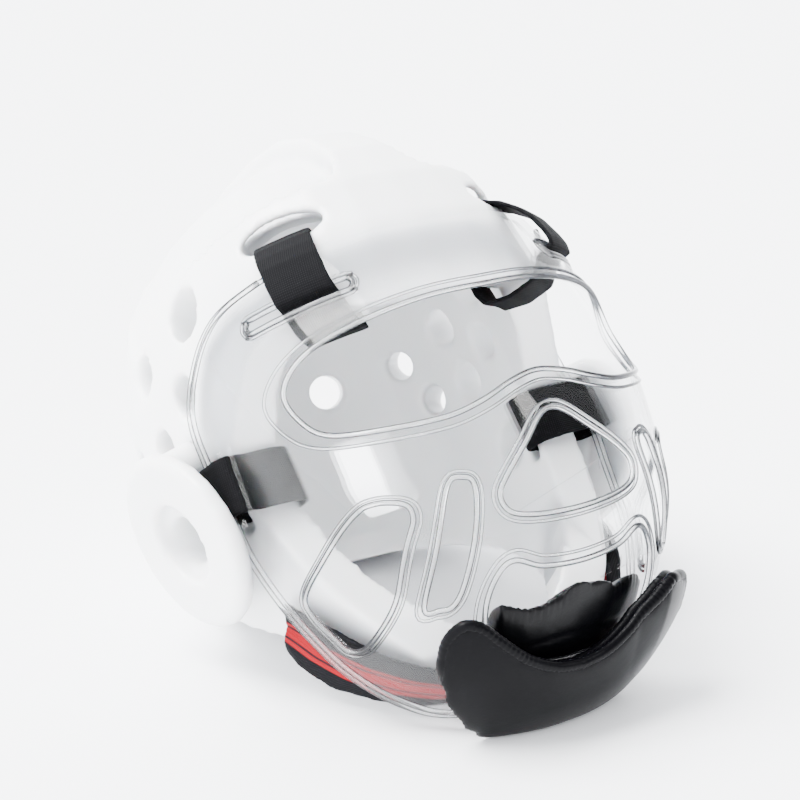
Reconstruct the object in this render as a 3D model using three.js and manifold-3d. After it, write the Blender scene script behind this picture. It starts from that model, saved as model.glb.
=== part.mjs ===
// Sparring headgear with a clear face shield, resting on its nape and chin guard. Millimetres, +Z up.
// Head frame: origin between the ears, +X the wearer's left, +Y to the back, +Z to the crown.
import * as THREE from "three";
import { mergeVertices } from "three/addons/utils/BufferGeometryUtils.js";
import Module from "manifold-3d";

const wasm = await Module();
wasm.setup();

// How the headgear lies: face turned up by this pitch, ears this high over the table.
const REST_PITCH_DEG = 38;
const EAR_OVER_TABLE = 71.5;

// Gaps between touching pieces.
const SEAT_GAP = 0.35;

// Foam shell.
const SHELL_HALF_WIDTH = 99;
const SHELL_CROWN = 186;
const SHELL_FRONT = 94;
const SHELL_BACK = 133;
const SHELL_WIDEST = 34;
const SHELL_WALL = 20;
const SHELL_SQUARENESS = 2.6;
const SHELL_EQUATOR = 50;
const SHELL_SEGMENTS = 32;
const HOLLOW_SEGMENTS = 20;
const CROWN_STEPS = 7;
const CROWN_ROUNDNESS = { width: 2.2, front: 2.5, back: 1.9 };
// Sections under the equator: level in mm, the rest as shares of the shell's sizes.
const SHELL_ROWS = [
  { level: -108, width: 0.54, front: 0.6, back: 0.36 },
  { level: -90, width: 0.642, front: 0.69, back: 0.46 },
  { level: -70, width: 0.763, front: 0.82, back: 0.56 },
  { level: -50, width: 0.848, front: 0.91, back: 0.63 },
  { level: -30, width: 0.905, front: 0.97, back: 0.69 },
  { level: -15, width: 0.935, front: 1, back: 0.745 },
  { level: 0, width: 0.96, front: 1.01, back: 0.885 },
  { level: 25, width: 0.99, front: 1.01, back: 0.985 },
];
// Side outline the foam is kept inside: brow, cheek edge, jaw tip, jaw line, nape.
const SHELL_SIDE = [
  [-150, 210],
  [-150, 64],
  [-95, 64],
  [-75, 68],
  [-60, 69],
  [-47, 63],
  [-35, 48],
  [-22, 27],
  [-20, 0],
  [-31, -36],
  [-42, -68],
  [-43, -88],
  [-38, -95],
  [-28, -95],
  [-12, -78],
  [10, -55],
  [40, -38],
  [62, -26],
  [80, -15],
  [98, -12],
  [170, -12],
  [170, 210],
];

// Crown recesses behind the forehead band.
const RECESS_DEPTH = 10;
const RECESS_FADE = 8;
const RECESS_OUTLINE = [
  [17, -62],
  [24, -72],
  [40, -69.5],
  [57, -59],
  [69, -45],
  [77, -28],
  [85, -3],
  [91, 25],
  [92, 48],
  [80, 68],
  [50, 74],
  [22, 58],
  [15, 20],
  [15, -30],
];

// Round vents on each side: where each leaves the foam.
const VENT_SIDES = 12;
const VENT_AIM = [0, 25, 60];
const VENTS = [
  { x: 88, y: -10, z: 102, radius: 12.5 },
  { x: 94, y: 40, z: 92, radius: 10 },
  { x: 98, y: 2, z: 67, radius: 10 },
  { x: 98, y: 36, z: 52, radius: 10 },
  { x: 78, y: 83, z: 84, radius: 8 },
  { x: 42, y: 116, z: 87, radius: 9.5 },
  { x: 89, y: 73, z: 56, radius: 8 },
];

// Rear ventilation slots.
const REAR_SLOT = { x: 46, z: 32, width: 27, height: 46 };

// Forehead strap holes in the foam and slots in the shield, on a plan bearing from the front.
const STRAP_BEARING_DEG = 41;
const STRAP_WIDTH = 28;
const STRAP_THICK = 2;
const BROW_HOLE = { level: 113, width: 42, height: 15, reach: 70, depth: 70, sides: 16 };
const BROW_SLOT = { level: 72, width: 52, height: 5.8 };
const BROW_STRAP_RADIUS = 104;
const BROW_STRAP_TOP = 110;
const BROW_STRAP_SWEEP_DEG = 0.08;

// Ear guards, their faces this far out from the foam.
const EAR_FACE = { out: 21, y: 7, z: 0 };
const EAR_TILT_DEG = 14;
const EAR_RADIUS = 43.5;
const EAR_FLANGE = 10;
const EAR_ROUND = 4;
const EAR_NECK_RADIUS = 22;
const EAR_NECK_SET = 10;
const EAR_BORE_SET = 7;
const EAR_HOLE_RADIUS = 19;
const EAR_BORE_RADIUS = 12;
const EAR_DEPTH = 46;
const EAR_SEGMENTS = 20;
const EAR_LUG = { up: 30, back: 2, radius: 11 };

// Clear face shield, standing off the foam at the sides and in front.
const SHIELD_SIDE_GAP = 5;
const SHIELD_STANDOFF = 36;
const SHIELD_HALF_WIDTH = SHELL_HALF_WIDTH + SHIELD_SIDE_GAP;
const SHIELD_REACH = SHELL_FRONT + SHIELD_STANDOFF;
const SHIELD_THICK = 3;
const SHIELD_SQUARENESS = 2.4;
const SHIELD_SEGMENTS = 32;
const SHIELD_TAIL = 30;
// Sections from the chin up: level in mm, the rest as shares of the shield's sizes.
const SHIELD_ROWS = [
  { level: -124, width: 0.17, front: 0.34 },
  { level: -121, width: 0.33, front: 0.46 },
  { level: -115, width: 0.48, front: 0.565 },
  { level: -104, width: 0.61, front: 0.67 },
  { level: -90, width: 0.73, front: 0.775 },
  { level: -74, width: 0.827, front: 0.865 },
  { level: -53, width: 0.913, front: 0.954 },
  { level: -32, width: 0.962, front: 0.992 },
  { level: -12, width: 0.99, front: 1 },
  { level: 7, width: 1, front: 1 },
  { level: 30, width: 1, front: 0.97 },
  { level: 54, width: 0.985, front: 0.904 },
  { level: 80, width: 0.94, front: 0.815 },
  { level: 105, width: 0.87, front: 0.712 },
];
// Side outline the shield is kept inside: top rim, rear edge, bottom edge.
const SHIELD_SIDE = [
  [-170, 98],
  [-93, 97],
  [-67, 91],
  [-41, 86],
  [-22, 72],
  [-9, 52],
  [-12, 25],
  [-17, 0],
  [-18, -20],
  [-25, -56],
  [-28, -80],
  [-33, -101],
  [-40, -112],
  [-54, -117],
  [-80, -118.5],
  [-170, -118.5],
];

// Openings seen from the front, right halves as x and z; each is mirrored.
const EYE_HALF = [
  [0, 54],
  [30, 54],
  [60, 51.5],
  [80, 47],
  [89, 36],
  [88, 20],
  [82, 9],
  [66, 2],
  [46, -1.5],
  [30, 0.5],
  [14, 5.5],
  [0, 8],
];
const NOSE_HALF = [
  [0, -10],
  [7, -12.5],
  [17, -21.5],
  [30, -33],
  [35, -40],
  [32, -47.5],
  [20, -51.5],
  [0, -53],
];
const MOUTH_HALF = [
  [0, -74],
  [20, -72],
  [33, -66.5],
  [40, -69.5],
  [44.5, -79],
  [43, -91],
  [33, -101],
  [16, -107],
  [0, -108.5],
];
const GILL = [
  [48, -28],
  [55, -32],
  [65.5, -68],
  [61, -74],
  [54, -70.5],
  [44.5, -36],
];
// Openings seen from the side, as y and z.
const CHEEK_HOLE = [
  [-103, -29],
  [-95, -25],
  [-86, -26],
  [-62, -37],
  [-42, -46],
  [-38.5, -53],
  [-40, -66],
  [-42, -74],
  [-54, -75],
  [-79, -64],
  [-100, -42],
  [-104.5, -34],
];
const CHEEK_SLOT = { y: -29, width: 9, height: 40 };

// Cheek straps: a loop in plan, out from the shield's or the hollow's widest line, and the foam slot.
const CHEEK_STRAP_LEVEL = 13;
const CHEEK_STRAP_LEAN = 0.12;
const CHEEK_LOOP = [
  { from: "shield", out: 2.5, y: -6.5 },
  { from: "shield", out: 4.2, y: -12 },
  { from: "shield", out: 4, y: -18 },
  { from: "shield", out: 3, y: -27 },
  { from: "shield", out: -1, y: -31 },
  { from: "shield", out: -7, y: -30 },
  { from: "hollow", out: 9, y: -29 },
  { from: "hollow", out: -6.4, y: -28 },
  { from: "hollow", out: -13, y: -22 },
  { from: "hollow", out: -12.5, y: -8 },
  { from: "hollow", out: 9, y: -6 },
];
const CHEEK_FOAM_SLOT = { y: -7, width: 9, height: 36, depth: 60 };

// Forehead straps: a loop out from the shield's or the hollow's wall, and up from the slot or the hole.
const BROW_LOOP = [
  { from: "shield", out: -22.2, at: "hole", up: 1.5 },
  { from: "shield", out: -6.5, at: "hole", up: -12 },
  { from: "shield", out: 2.6, at: "slot", up: 12 },
  { from: "shield", out: 4.4, at: "slot", up: 1 },
  { from: "shield", out: -3.2, at: "slot", up: -1.5 },
  { from: "shield", out: -9.7, at: "slot", up: -11 },
  { from: "hollow", out: -1.8, at: "slot", up: -12.2 },
  { from: "hollow", out: -6, at: "slot", up: 0 },
  { from: "hollow", out: -12, at: "hole", up: -18 },
  { from: "hollow", out: -16.8, at: "hole", up: -2.5 },
];

// Chin guard, inner pad and chin strap.
const GUARD_THICK = 11;
const GUARD_TAIL_Y = -48;
const GUARD_HALF = [
  [0, -112.5],
  [20, -110.5],
  [38, -102],
  [46, -95],
  [52, -92],
  [57, -95],
  [59, -104],
  [54, -118],
  [40, -150],
  [0, -150],
];
const PAD_THICK = 12;
const PAD_HALF = [
  [0, -81],
  [16, -80],
  [32, -80],
  [44, -84],
  [47, -95],
  [38, -106],
  [18, -111],
  [0, -112],
];
const CHIN_STRAP_THICK = 2;
const CHIN_STRAP_INSET = { width: 5.7, front: 19 };
const CHIN_STRAP_SIDE = [
  [-13, -40],
  [-24, -52],
  [-33, -64],
  [-41, -80],
  [-50, -95],
  [-64, -103],
  [-80, -104],
  [-140, -104],
  [-140, -124],
  [-74, -124],
  [-46, -118],
  [-24, -103],
  [-6, -84],
  [4, -60],
];

const SKY = 400;

// A closed geometry as a solid for joining and cutting.
function solidOf(geometry) {
  const bare = geometry.clone();
  bare.deleteAttribute("normal");
  bare.deleteAttribute("uv");
  const merged = mergeVertices(bare, 1e-4);
  return new wasm.Manifold(
    new wasm.Mesh({
      numProp: 3,
      vertProperties: new Float32Array(merged.attributes.position.array),
      triVerts: new Uint32Array(merged.index.array),
    }),
  );
}

function geometryOf(solid) {
  const mesh = solid.getMesh();
  const geometry = new THREE.BufferGeometry();
  geometry.setAttribute("position", new THREE.BufferAttribute(mesh.vertProperties, 3));
  geometry.setIndex(new THREE.BufferAttribute(mesh.triVerts, 1));
  const flat = geometry.toNonIndexed();
  flat.computeVertexNormals();
  return flat;
}

// Rings of equal length, from the lowest up, closed by a fan at each end.
function loft(rings) {
  const count = rings[0].length;
  const positions = rings.flat().flatMap((p) => [p.x, p.y, p.z]);
  const index = [];
  for (let i = 0; i + 1 < rings.length; i++) {
    for (let j = 0; j < count; j++) {
      const a = i * count + j;
      const b = i * count + ((j + 1) % count);
      index.push(a, b, b + count, a, b + count, a + count);
    }
  }
  for (const end of [0, rings.length - 1]) {
    const middle = rings[end]
      .reduce((sum, p) => sum.add(p), new THREE.Vector3())
      .divideScalar(count);
    const hub = positions.length / 3;
    positions.push(middle.x, middle.y, middle.z);
    for (let j = 0; j < count; j++) {
      const a = end * count + j;
      const b = end * count + ((j + 1) % count);
      index.push(...(end === 0 ? [b, a, hub] : [a, b, hub]));
    }
  }
  const geometry = new THREE.BufferGeometry();
  geometry.setAttribute("position", new THREE.Float32BufferAttribute(positions, 3));
  geometry.setIndex(index);
  return geometry;
}

// One level section: an ellipse with squared shoulders, longer to one side of its widest line.
function section({ level, width, front, back }, widest, squareness, segments) {
  const ring = [];
  const power = 2 / squareness;
  for (let j = 0; j < segments; j++) {
    const turn = (2 * Math.PI * j) / segments;
    const across = Math.cos(turn);
    const along = Math.sin(turn);
    const reach = along < 0 ? widest + front : back - widest;
    ring.push(
      new THREE.Vector3(
        width * Math.sign(across) * Math.abs(across) ** power,
        widest + reach * Math.sign(along) * Math.abs(along) ** power,
        level,
      ),
    );
  }
  return ring;
}

// Rows moved outward along the profile by a growth for width and one for front and back.
function grownRows(rows, wide, long) {
  return rows.map((row, i) => {
    const below = rows[Math.max(i - 1, 0)];
    const above = rows[Math.min(i + 1, rows.length - 1)];
    const rise = above.level - below.level;
    const lean = (above.front - below.front + above.width - below.width) / 2;
    const length = Math.hypot(rise, lean);
    return {
      level: row.level - (lean / length) * ((wide + long) / 2),
      width: Math.max(row.width + (wide * rise) / length, 1),
      front: row.front + (long * rise) / length,
      back: row.back + (long * rise) / length,
    };
  });
}

function shellRows() {
  const lower = SHELL_ROWS.map((row) => ({
    level: row.level,
    width: row.width * SHELL_HALF_WIDTH,
    front: row.front * SHELL_FRONT,
    back: row.back * SHELL_BACK,
  }));
  const upper = [];
  for (let i = 0; i <= CROWN_STEPS; i++) {
    const share = Math.sin((Math.PI / 2) * (i / (CROWN_STEPS + 0.6)));
    const fall = (roundness) => (1 - share ** roundness) ** (1 / roundness);
    upper.push({
      level: SHELL_EQUATOR + (SHELL_CROWN - SHELL_EQUATOR) * share,
      width: SHELL_HALF_WIDTH * fall(CROWN_ROUNDNESS.width),
      front: (SHELL_FRONT + SHELL_WIDEST) * fall(CROWN_ROUNDNESS.front) - SHELL_WIDEST,
      back: (SHELL_BACK - SHELL_WIDEST) * fall(CROWN_ROUNDNESS.back) + SHELL_WIDEST,
    });
  }
  return [...lower, ...upper];
}

function shellSolid(grow, segments = SHELL_SEGMENTS) {
  const rows = grownRows(shellRows(), grow, grow);
  return solidOf(
    loft(rows.map((row) => section(row, SHELL_WIDEST, SHELL_SQUARENESS, segments))),
  );
}

function shieldSection(row) {
  return section({ ...row, back: SHIELD_TAIL }, 0, SHIELD_SQUARENESS, SHIELD_SEGMENTS);
}

function shieldRows() {
  return SHIELD_ROWS.map((row) => ({
    level: row.level,
    width: row.width * SHIELD_HALF_WIDTH,
    front: row.front * SHIELD_REACH,
    back: SHIELD_TAIL,
  }));
}

function shieldSolid(wide, long) {
  return solidOf(loft(grownRows(shieldRows(), wide, long).map(shieldSection)));
}

// A table's row at a level between two of its own.
function rowAt(rows, level) {
  const next = rows.findIndex((row) => row.level > level);
  const [low, high] = [rows[next - 1], rows[next]];
  const share = (level - low.level) / (high.level - low.level);
  const at = (size) => THREE.MathUtils.lerp(low[size], high[size], share);
  return { level, width: at("width"), front: at("front"), back: at("back") };
}

// How far from the upright axis a level section lies on a bearing from the front.
function radiusOn(ring, bearing) {
  const out = new THREE.Vector3(Math.sin(bearing), -Math.cos(bearing), 0);
  const aside = (p) => p.x * out.y - p.y * out.x;
  for (const [i, a] of ring.entries()) {
    const b = ring[(i + 1) % ring.length];
    if (aside(a) * aside(b) > 0) continue;
    const radius = a.clone().lerp(b, aside(a) / (aside(a) - aside(b))).dot(out);
    if (radius > 0) return radius;
  }
}

function polygon(points) {
  return new THREE.Shape(points.map(([a, b]) => new THREE.Vector2(a, b)));
}

function smooth(points, steps) {
  const curve = new THREE.CatmullRomCurve3(
    points.map(([a, b]) => new THREE.Vector3(a, b, 0)),
    true,
    "centripetal",
  );
  return curve
    .getPoints(steps)
    .slice(0, -1)
    .map((p) => [p.x, p.y]);
}

function mirrored(half) {
  const other = half
    .slice(1, -1)
    .reverse()
    .map(([x, z]) => [-x, z]);
  return [...half, ...other];
}

// An outline of x and z carried from the middle of the head out through the face.
function frontPrism(points) {
  const geometry = new THREE.ExtrudeGeometry(polygon(points), {
    depth: SKY,
    bevelEnabled: false,
  });
  geometry.rotateX(Math.PI / 2);
  return solidOf(geometry);
}

// An outline of y and z carried across the whole head.
function sidePrism(points) {
  const geometry = new THREE.ExtrudeGeometry(polygon(points), {
    depth: SKY,
    bevelEnabled: false,
  });
  geometry.translate(0, 0, -SKY / 2);
  geometry.applyMatrix4(
    new THREE.Matrix4().makeBasis(
      new THREE.Vector3(0, 1, 0),
      new THREE.Vector3(0, 0, 1),
      new THREE.Vector3(1, 0, 0),
    ),
  );
  return solidOf(geometry);
}

// An outline of x and y carried up between two levels.
function planPrism(points, from, to) {
  const geometry = new THREE.ExtrudeGeometry(polygon(points), {
    depth: to - from,
    bevelEnabled: false,
  });
  geometry.translate(0, 0, from);
  return solidOf(geometry);
}

// An outline of radius and level turned about the upright axis between two bearings.
function turnedBand(points, bearing, spread, steps, sweep) {
  const contour = points.map(([r, z]) => new THREE.Vector2(r, z));
  if (THREE.ShapeUtils.isClockWise(contour)) contour.reverse();
  const caps = THREE.ShapeUtils.triangulateShape(contour, []);
  const count = contour.length;
  const positions = [];
  for (let i = 0; i <= steps; i++) {
    const angle = bearing + spread * (i / steps - 0.5);
    for (const p of contour) {
      const swept = angle - sweep * (BROW_STRAP_TOP - p.y);
      positions.push(p.x * Math.sin(swept), -p.x * Math.cos(swept), p.y);
    }
  }
  const index = [];
  for (let i = 0; i < steps; i++) {
    for (let j = 0; j < count; j++) {
      const a = i * count + j;
      const b = i * count + ((j + 1) % count);
      index.push(a, b + count, b, a, a + count, b + count);
    }
  }
  for (const [a, b, c] of caps) {
    index.push(a, b, c);
    index.push(steps * count + a, steps * count + c, steps * count + b);
  }
  const geometry = new THREE.BufferGeometry();
  geometry.setAttribute("position", new THREE.Float32BufferAttribute(positions, 3));
  geometry.setIndex(index);
  return solidOf(geometry);
}

function box(width, depth, height, x, y, z, bearing = 0) {
  const geometry = new THREE.BoxGeometry(width, depth, height);
  geometry.rotateZ(bearing);
  geometry.translate(x, y, z);
  return solidOf(geometry);
}

// A loop drawn in by a distance along its own corners' normals.
function drawnIn(points, distance) {
  const area = THREE.ShapeUtils.area(points.map(([a, b]) => new THREE.Vector2(a, b)));
  const side = Math.sign(area);
  return points.map((p, i) => {
    const before = points[(i + points.length - 1) % points.length];
    const after = points[(i + 1) % points.length];
    const u = new THREE.Vector2(p[0] - before[0], p[1] - before[1]).normalize();
    const v = new THREE.Vector2(after[0] - p[0], after[1] - p[1]).normalize();
    const normal = new THREE.Vector2(-(u.y + v.y), u.x + v.x).normalize();
    const half = Math.max(Math.sqrt((1 + u.dot(v)) / 2), 0.5);
    return [
      p[0] + (side * normal.x * distance) / half,
      p[1] + (side * normal.y * distance) / half,
    ];
  });
}

function otherSide(solid) {
  return solid.mirror([1, 0, 0]);
}

const bearing = THREE.MathUtils.degToRad(STRAP_BEARING_DEG);
const pitch = THREE.MathUtils.degToRad(REST_PITCH_DEG);

// Everything over the table, in the head frame.
function overTable() {
  const geometry = new THREE.BoxGeometry(2 * SKY, 2 * SKY, 2 * SKY);
  geometry.translate(0, 0, SKY - EAR_OVER_TABLE);
  geometry.rotateX(pitch);
  return solidOf(geometry);
}

function ventSolid({ x, y, z, radius }) {
  const out = new THREE.Vector3(x - VENT_AIM[0], y - VENT_AIM[1], z - VENT_AIM[2]).normalize();
  const geometry = new THREE.CylinderGeometry(radius, radius, 80, VENT_SIDES);
  geometry.applyQuaternion(
    new THREE.Quaternion().setFromUnitVectors(new THREE.Vector3(0, 1, 0), out),
  );
  geometry.translate(x, y, z);
  return solidOf(geometry);
}

function onBearing(width, depth, height, reach, level) {
  return box(
    width,
    depth,
    height,
    reach * Math.sin(bearing),
    -reach * Math.cos(bearing),
    level,
    bearing,
  );
}

// The oval hole through the foam that a forehead strap goes into.
function browHole() {
  const { level, width, height, reach, depth, sides } = BROW_HOLE;
  const geometry = new THREE.CylinderGeometry(0.5, 0.5, depth, sides);
  geometry.scale(width, 1, height);
  geometry.rotateZ(bearing);
  geometry.translate(reach * Math.sin(bearing), -reach * Math.cos(bearing), level);
  return solidOf(geometry);
}

// Placement of an ear guard: local +Z is its outward axis, local +Y its upper side.
function earMatrix() {
  const tilt = THREE.MathUtils.degToRad(EAR_TILT_DEG);
  const out = new THREE.Vector3(Math.cos(tilt), 0, -Math.sin(tilt));
  const up = new THREE.Vector3(Math.sin(tilt), 0, Math.cos(tilt));
  const front = new THREE.Vector3().crossVectors(up, out);
  return new THREE.Matrix4()
    .makeBasis(front, up, out)
    .setPosition(SHELL_HALF_WIDTH + EAR_FACE.out, EAR_FACE.y, EAR_FACE.z);
}

function earCylinder(radius, from, to, up, back) {
  const geometry = new THREE.CylinderGeometry(radius, radius, to - from, EAR_SEGMENTS);
  geometry.rotateX(Math.PI / 2);
  geometry.translate(back, up, (from + to) / 2);
  geometry.applyMatrix4(earMatrix());
  return solidOf(geometry);
}

function earFlange() {
  const r = EAR_RADIUS;
  const c = EAR_ROUND;
  const profile = [
    [0, -EAR_FLANGE],
    [r - c, -EAR_FLANGE],
    [r - 0.3 * c, -EAR_FLANGE + 0.3 * c],
    [r, -EAR_FLANGE + c],
    [r, -c],
    [r - 0.3 * c, -0.3 * c],
    [r - c, 0],
    [0, 0],
  ];
  const geometry = new THREE.LatheGeometry(
    profile.map(([x, y]) => new THREE.Vector2(x, y)),
    EAR_SEGMENTS,
  );
  geometry.rotateX(Math.PI / 2);
  geometry.applyMatrix4(earMatrix());
  return solidOf(geometry);
}

function buildShell(outer) {
  const inner = shellSolid(-SHELL_WALL, HOLLOW_SEGMENTS);
  let shell = outer.subtract(inner);
  const floor = shellSolid(0).translate([0, RECESS_FADE, -RECESS_DEPTH]);
  const outline = smooth(RECESS_OUTLINE, 28);
  const cutter = planPrism(outline, SHELL_EQUATOR, SKY).subtract(floor);
  shell = shell.subtract(cutter).subtract(otherSide(cutter));
  shell = shell.intersect(sidePrism(SHELL_SIDE));
  const side = [];
  for (const vent of VENTS) side.push(ventSolid(vent));
  side.push(
    box(
      REAR_SLOT.width,
      SHELL_BACK,
      REAR_SLOT.height,
      REAR_SLOT.x,
      SHELL_BACK,
      REAR_SLOT.z,
    ),
  );
  side.push(browHole());
  side.push(
    box(
      CHEEK_FOAM_SLOT.depth,
      CHEEK_FOAM_SLOT.width,
      CHEEK_FOAM_SLOT.height,
      SHELL_HALF_WIDTH,
      CHEEK_FOAM_SLOT.y,
      CHEEK_STRAP_LEVEL,
    ),
  );
  side.push(earCylinder(EAR_BORE_RADIUS, -EAR_DEPTH - 20, 0, 0, EAR_BORE_SET));
  for (const cut of side) shell = shell.subtract(cut).subtract(otherSide(cut));
  return shell.intersect(overTable());
}

function buildEarGuard(outer) {
  const neck = earCylinder(EAR_NECK_RADIUS, -EAR_DEPTH, -EAR_FLANGE / 2, 1, EAR_NECK_SET);
  const lug = earCylinder(
    EAR_LUG.radius,
    -EAR_DEPTH,
    -EAR_FLANGE / 2,
    EAR_LUG.up,
    EAR_LUG.back,
  );
  return earFlange()
    .add(neck)
    .add(lug)
    .subtract(earCylinder(EAR_HOLE_RADIUS, -EAR_FLANGE + 2, 1, 0, 0))
    .subtract(earCylinder(EAR_BORE_RADIUS, -EAR_DEPTH - 1, 1, 0, EAR_BORE_SET))
    .subtract(outer);
}

function buildShield() {
  const sheet = shieldSolid(0, 0).subtract(shieldSolid(-SHIELD_THICK, -SHIELD_THICK));
  let shield = sheet.intersect(sidePrism(SHIELD_SIDE));
  for (const half of [EYE_HALF, NOSE_HALF, MOUTH_HALF]) {
    shield = shield.subtract(frontPrism(smooth(mirrored(half), 28)));
  }
  const gill = frontPrism(smooth(GILL, 12));
  shield = shield.subtract(gill).subtract(otherSide(gill));
  shield = shield.subtract(sidePrism(smooth(CHEEK_HOLE, 18)));
  const slot = onBearing(BROW_SLOT.width, 60, BROW_SLOT.height, 108, BROW_SLOT.level);
  const notch = box(
    60,
    CHEEK_SLOT.width,
    CHEEK_SLOT.height,
    SHIELD_HALF_WIDTH,
    CHEEK_SLOT.y,
    CHEEK_STRAP_LEVEL,
  );
  for (const cut of [slot, notch]) shield = shield.subtract(cut).subtract(otherSide(cut));
  return shield;
}

function buildBrowStrap() {
  const spread = STRAP_WIDTH / BROW_STRAP_RADIUS;
  const sweep = THREE.MathUtils.degToRad(BROW_STRAP_SWEEP_DEG);
  const shield = shieldSection(rowAt(shieldRows(), BROW_SLOT.level));
  const row = rowAt(grownRows(shellRows(), -SHELL_WALL, -SHELL_WALL), BROW_SLOT.level);
  const hollow = section(row, SHELL_WIDEST, SHELL_SQUARENESS, HOLLOW_SEGMENTS);
  const wall = { shield: radiusOn(shield, bearing), hollow: radiusOn(hollow, bearing) };
  const level = { slot: BROW_SLOT.level, hole: BROW_HOLE.level };
  const loop = BROW_LOOP.map(({ from, out, at, up }) => [wall[from] + out, level[at] + up]);
  const outline = smooth(loop, 20);
  return turnedBand(outline, bearing, spread, 3, sweep).subtract(
    turnedBand(drawnIn(outline, STRAP_THICK), bearing, 2 * spread, 3, sweep),
  );
}

function buildCheekStrap() {
  const wall = { shield: SHIELD_HALF_WIDTH, hollow: SHELL_HALF_WIDTH - SHELL_WALL };
  const loop = CHEEK_LOOP.map(({ from, out, y }) => [wall[from] + out, y]);
  const outline = smooth(loop, 28);
  const half = STRAP_WIDTH / 2;
  const band = planPrism(outline, -half, half).subtract(
    planPrism(drawnIn(outline, STRAP_THICK), -STRAP_WIDTH, STRAP_WIDTH),
  );
  const shear = [1, 0, 0, 0, 0, 1, 0, 0, 0, CHEEK_STRAP_LEAN, 1, 0, 0, 0, 0, 1];
  return band.transform(shear).translate([0, 0, CHEEK_STRAP_LEVEL]);
}

function buildGuard() {
  return shieldSolid(GUARD_THICK, GUARD_THICK)
    .subtract(shieldSolid(SEAT_GAP, SEAT_GAP))
    .intersect(frontPrism(smooth(mirrored(GUARD_HALF), 36)))
    .intersect(box(SKY, SKY, SKY, 0, GUARD_TAIL_Y - SKY / 2, 0))
    .intersect(overTable());
}

function buildPad() {
  const inset = SHIELD_THICK + SEAT_GAP;
  return shieldSolid(-inset, -inset)
    .subtract(shieldSolid(SEAT_GAP - CHIN_STRAP_INSET.width, -inset - PAD_THICK))
    .intersect(frontPrism(smooth(mirrored(PAD_HALF), 28)));
}

function buildChinStrap() {
  const { width, front } = CHIN_STRAP_INSET;
  return shieldSolid(-width, -front)
    .subtract(shieldSolid(-width - CHIN_STRAP_THICK, -front - CHIN_STRAP_THICK))
    .intersect(sidePrism(CHIN_STRAP_SIDE));
}

const LOOKS = {
  foam: { color: 0xf2f2f0, roughness: 0.35, metalness: 0 },
  clear: { color: 0xdfe8ee, roughness: 0.05, metalness: 0 },
  webbing: { color: 0x141416, roughness: 0.9, metalness: 0 },
  guard: { color: 0x0c0c0e, roughness: 0.4, metalness: 0 },
  elastic: { color: 0x8c1418, roughness: 0.85, metalness: 0 },
};

const head = new THREE.Group();
head.rotation.x = -pitch;

function place(name, solid, look) {
  const mesh = new THREE.Mesh(geometryOf(solid), new THREE.MeshStandardMaterial(LOOKS[look]));
  mesh.name = name;
  head.add(mesh);
}

const outer = shellSolid(0);
const seat = shellSolid(SEAT_GAP);
const browStrap = buildBrowStrap();
const cheekStrap = buildCheekStrap();
const earGuard = buildEarGuard(seat);

place("helmet_shell", buildShell(outer), "foam");
place("face_shield", buildShield(), "clear");
place("ear_guard_left", earGuard, "foam");
place("ear_guard_right", otherSide(earGuard), "foam");
place("forehead_strap_left", browStrap, "webbing");
place("forehead_strap_right", otherSide(browStrap), "webbing");
place("cheek_strap_left", cheekStrap, "webbing");
place("cheek_strap_right", otherSide(cheekStrap), "webbing");
place("chin_guard", buildGuard(), "guard");
place("chin_pad", buildPad(), "guard");
place("chin_strap", buildChinStrap(), "elastic");

const headgear = new THREE.Group();
headgear.add(head);
headgear.updateMatrixWorld(true);
const bounds = new THREE.Box3().setFromObject(headgear, true);
head.position.set(
  -(bounds.min.x + bounds.max.x) / 2,
  -(bounds.min.y + bounds.max.y) / 2,
  EAR_OVER_TABLE,
);

export default headgear;
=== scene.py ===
import math

import bmesh
import bpy
import numpy as np
from mathutils import Matrix, Vector


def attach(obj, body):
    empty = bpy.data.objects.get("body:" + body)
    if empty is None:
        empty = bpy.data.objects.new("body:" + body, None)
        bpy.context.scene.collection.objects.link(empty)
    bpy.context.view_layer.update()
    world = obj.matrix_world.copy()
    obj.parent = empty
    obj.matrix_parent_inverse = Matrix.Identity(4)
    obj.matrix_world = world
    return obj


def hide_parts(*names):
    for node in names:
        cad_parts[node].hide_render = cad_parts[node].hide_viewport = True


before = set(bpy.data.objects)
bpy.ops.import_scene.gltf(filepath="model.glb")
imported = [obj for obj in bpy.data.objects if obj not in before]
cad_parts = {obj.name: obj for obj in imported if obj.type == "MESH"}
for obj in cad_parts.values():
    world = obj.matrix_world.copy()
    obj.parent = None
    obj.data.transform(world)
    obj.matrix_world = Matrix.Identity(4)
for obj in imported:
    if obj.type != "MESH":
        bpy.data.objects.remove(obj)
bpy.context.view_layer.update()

MM = 0.001

# How the head frame lies in the row frame
REST_PITCH_DEG = 38
HEAD_SHIFT = -13.287
HEAD_RISE = 71.5
HEAD = Matrix.Translation((0, HEAD_SHIFT * MM, HEAD_RISE * MM)) @ Matrix.Rotation(
    math.radians(-REST_PITCH_DEG), 4, "X"
)
TO_HEAD = np.array(HEAD.inverted())
TO_ROW = np.array(HEAD)

# Camera at the photograph's angle
CAMERA_AT = (-0.4746, -0.7185, 0.4149)
CAMERA_RIGHT = (0.8319, -0.5550, 0)
CAMERA_UP = (0.1846, 0.2767, 0.9431)
CAMERA_LENS = 85.5
CAMERA_SENSOR = 36

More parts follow.
